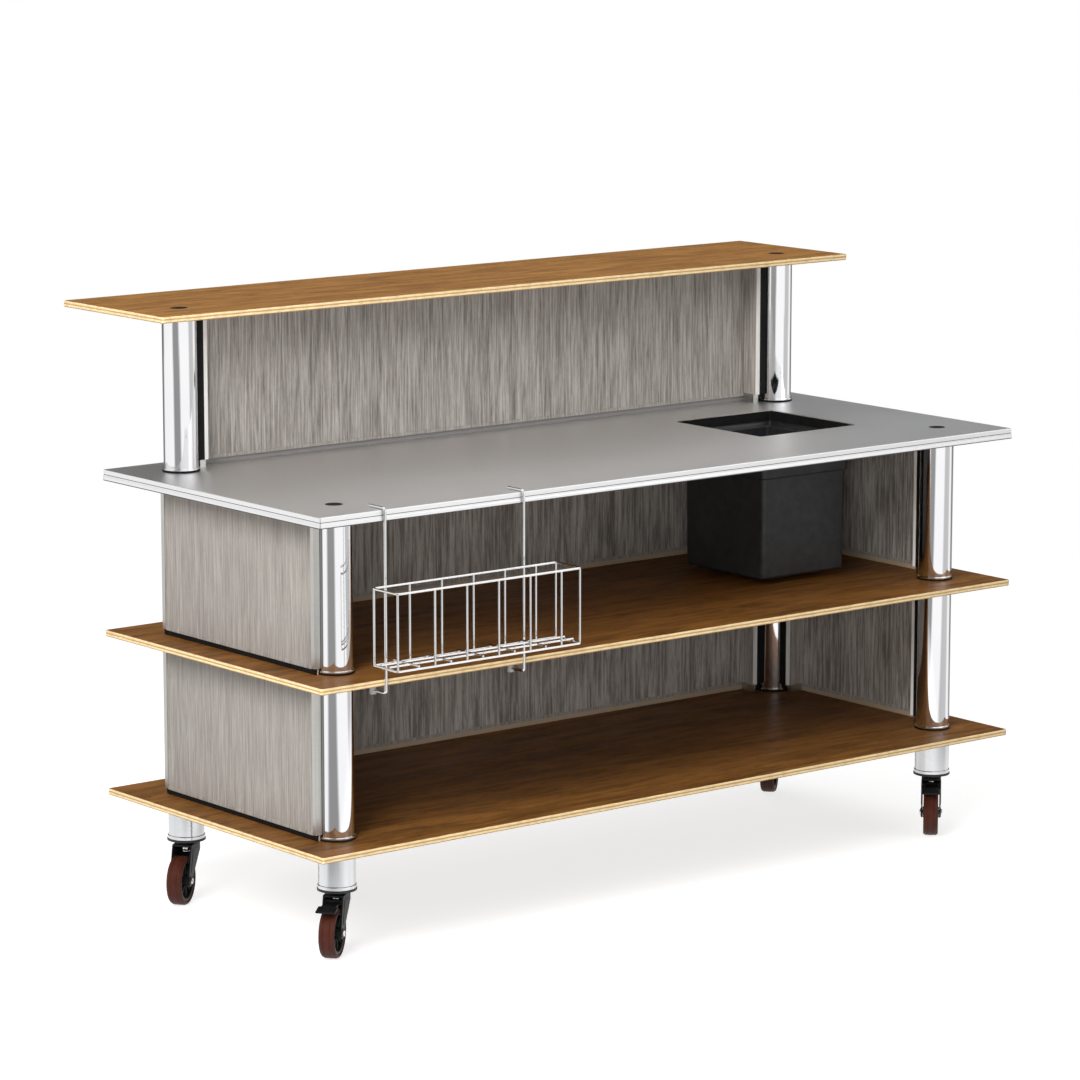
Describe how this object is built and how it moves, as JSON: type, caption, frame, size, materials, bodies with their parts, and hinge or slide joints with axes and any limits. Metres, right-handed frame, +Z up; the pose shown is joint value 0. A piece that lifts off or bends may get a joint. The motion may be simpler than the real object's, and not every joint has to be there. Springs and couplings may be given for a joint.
{
  "type": "mobile bar station",
  "caption": "Wheeled bar counter: plywood shelves, stainless worktop and raised bar top on chrome posts, with clip-on panels, a lift-out ice bin and a wire bottle rack.",
  "frame": {"origin": "on the floor, at the centre of the whole outline", "axes": "+Z up; +Y from the bartender's side, where the worktop and the rack are, to the guests' side, where the bar top overhangs; +X to the right as the bartender stands"},
  "size_m": [1.83, 0.979, 1.22],
  "materials": {
    "plywood": "clear lacquered plywood with light edges",
    "stainless": "brushed",
    "chrome_tube": "polished",
    "zinc_steel": "zinc plated",
    "socket_aluminium": "turned",
    "cap": "dark centre in a bright rim",
    "black_ring": "satin",
    "laminate": "grey wood-grain laminate on board",
    "trim_aluminium": "satin anodised",
    "gasket": "matt",
    "black_steel": "satin powder coat",
    "bin_plastic": "moulded, satin",
    "wire": "bright plated wire",
    "bumper": "translucent grey",
    "caster_steel": "black coated pressing",
    "bright_steel": "bright plated",
    "wheel_core": "moulded",
    "tyre": "reddish brown tread"
  },
  "bodies": {
    "root": {"bottom_shelf": "plywood", "middle_shelf": "plywood", "worktop_core": "plywood", "worktop_skin": "stainless", "bar_top": "plywood", "front_left_post": "chrome_tube", "front_right_post": "chrome_tube", "rear_left_post": "chrome_tube", "rear_right_post": "chrome_tube", "post_collars": "chrome_tube", "post_spigots": "socket_aluminium", "tie_rods": "zinc_steel", "tie_rod_nuts": "zinc_steel", "post_caps": "cap", "foot_sleeves": "chrome_tube", "foot_rings": "black_ring", "foot_sockets": "socket_aluminium", "caster_heads": "bright_steel", "left_lower_panel": "laminate", "left_middle_panel": "laminate", "right_lower_panel": "laminate", "right_middle_panel": "laminate", "back_lower_panel": "laminate", "back_middle_panel": "laminate", "back_upper_panel": "laminate", "panel_side_trims": "trim_aluminium", "panel_rails": "trim_aluminium", "panel_clip_rails": "trim_aluminium", "panel_gaskets": "gasket", "panel_feet": "trim_aluminium", "bin_frame": "black_steel", "bin_frame_screws": "zinc_steel"},
    "ice_bin": {"ice_bin": "bin_plastic"},
    "rack": {"rack_front": "wire", "rack_rear": "wire", "rack_left_side": "wire", "rack_right_side": "wire", "rack_floor": "wire", "rack_left_hanger": "wire", "rack_right_hanger": "wire", "rack_bumpers": "bumper"},
    "front_left_swivel": {"front_left_fork": "caster_steel", "front_left_axle": "bright_steel"},
    "front_left_wheel": {"front_left_wheel": "wheel_core", "front_left_tyre": "tyre"},
    "front_left_pedal": {"front_left_brake_pedal": "caster_steel"},
    "front_right_swivel": {"front_right_fork": "caster_steel", "front_right_axle": "bright_steel"},
    "front_right_wheel": {"front_right_wheel": "wheel_core", "front_right_tyre": "tyre"},
    "front_right_pedal": {"front_right_brake_pedal": "caster_steel"},
    "rear_left_swivel": {"rear_left_fork": "caster_steel", "rear_left_axle": "bright_steel"},
    "rear_left_wheel": {"rear_left_wheel": "wheel_core", "rear_left_tyre": "tyre"},
    "rear_right_swivel": {"rear_right_fork": "caster_steel", "rear_right_axle": "bright_steel"},
    "rear_right_wheel": {"rear_right_wheel": "wheel_core", "rear_right_tyre": "tyre"}
  },
  "joints": [
    {"name": "front_left_swivel_turn", "type": "hinge", "parent": "root", "child": "front_left_swivel", "pos_m": [-0.8, -0.28397, 0.12], "axis": [0, 0, 1], "continuous": true},
    {"name": "front_left_wheel_roll", "type": "hinge", "parent": "front_left_swivel", "child": "front_left_wheel", "pos_m": [-0.82953, -0.30789, 0.05], "axis": [0.6293, -0.7771, 0], "continuous": true},
    {"name": "front_left_pedal_lift", "type": "hinge", "parent": "front_left_swivel", "child": "front_left_pedal", "pos_m": [-0.81865, -0.29908, 0.1077], "axis": [-0.6293, 0.7771, 0], "range_deg": [0, 20]},
    {"name": "front_right_swivel_turn", "type": "hinge", "parent": "root", "child": "front_right_swivel", "pos_m": [0.8, -0.28397, 0.12], "axis": [0, 0, 1], "continuous": true},
    {"name": "front_right_wheel_roll", "type": "hinge", "parent": "front_right_swivel", "child": "front_right_wheel", "pos_m": [0.7736, -0.31131, 0.05], "axis": [0.7193, -0.6947, 0], "continuous": true},
    {"name": "front_right_pedal_lift", "type": "hinge", "parent": "front_right_swivel", "child": "front_right_pedal", "pos_m": [0.78333, -0.30124, 0.1077], "axis": [-0.7193, 0.6947, 0], "range_deg": [0, 20]},
    {"name": "rear_left_swivel_turn", "type": "hinge", "parent": "root", "child": "rear_left_swivel", "pos_m": [-0.8, 0.23802, 0.12], "axis": [0, 0, 1], "continuous": true},
    {"name": "rear_left_wheel_roll", "type": "hinge", "parent": "rear_left_swivel", "child": "rear_left_wheel", "pos_m": [-0.83035, 0.21516, 0.05], "axis": [0.6018, -0.7986, 0], "continuous": true},
    {"name": "rear_right_swivel_turn", "type": "hinge", "parent": "root", "child": "rear_right_swivel", "pos_m": [0.8, 0.23802, 0.12], "axis": [0, 0, 1], "continuous": true},
    {"name": "rear_right_wheel_roll", "type": "hinge", "parent": "rear_right_swivel", "child": "rear_right_wheel", "pos_m": [0.77132, 0.2131, 0.05], "axis": [0.6561, -0.7547, 0], "continuous": true},
    {"name": "bin_lift", "type": "slide", "parent": "root", "child": "ice_bin", "axis": [0, 0, 1], "range_m": [0, 0.33]},
    {"name": "rack_slide", "type": "slide", "parent": "root", "child": "rack", "axis": [1, 0, 0], "range_m": [-0.08, 1.23]}
  ]
}
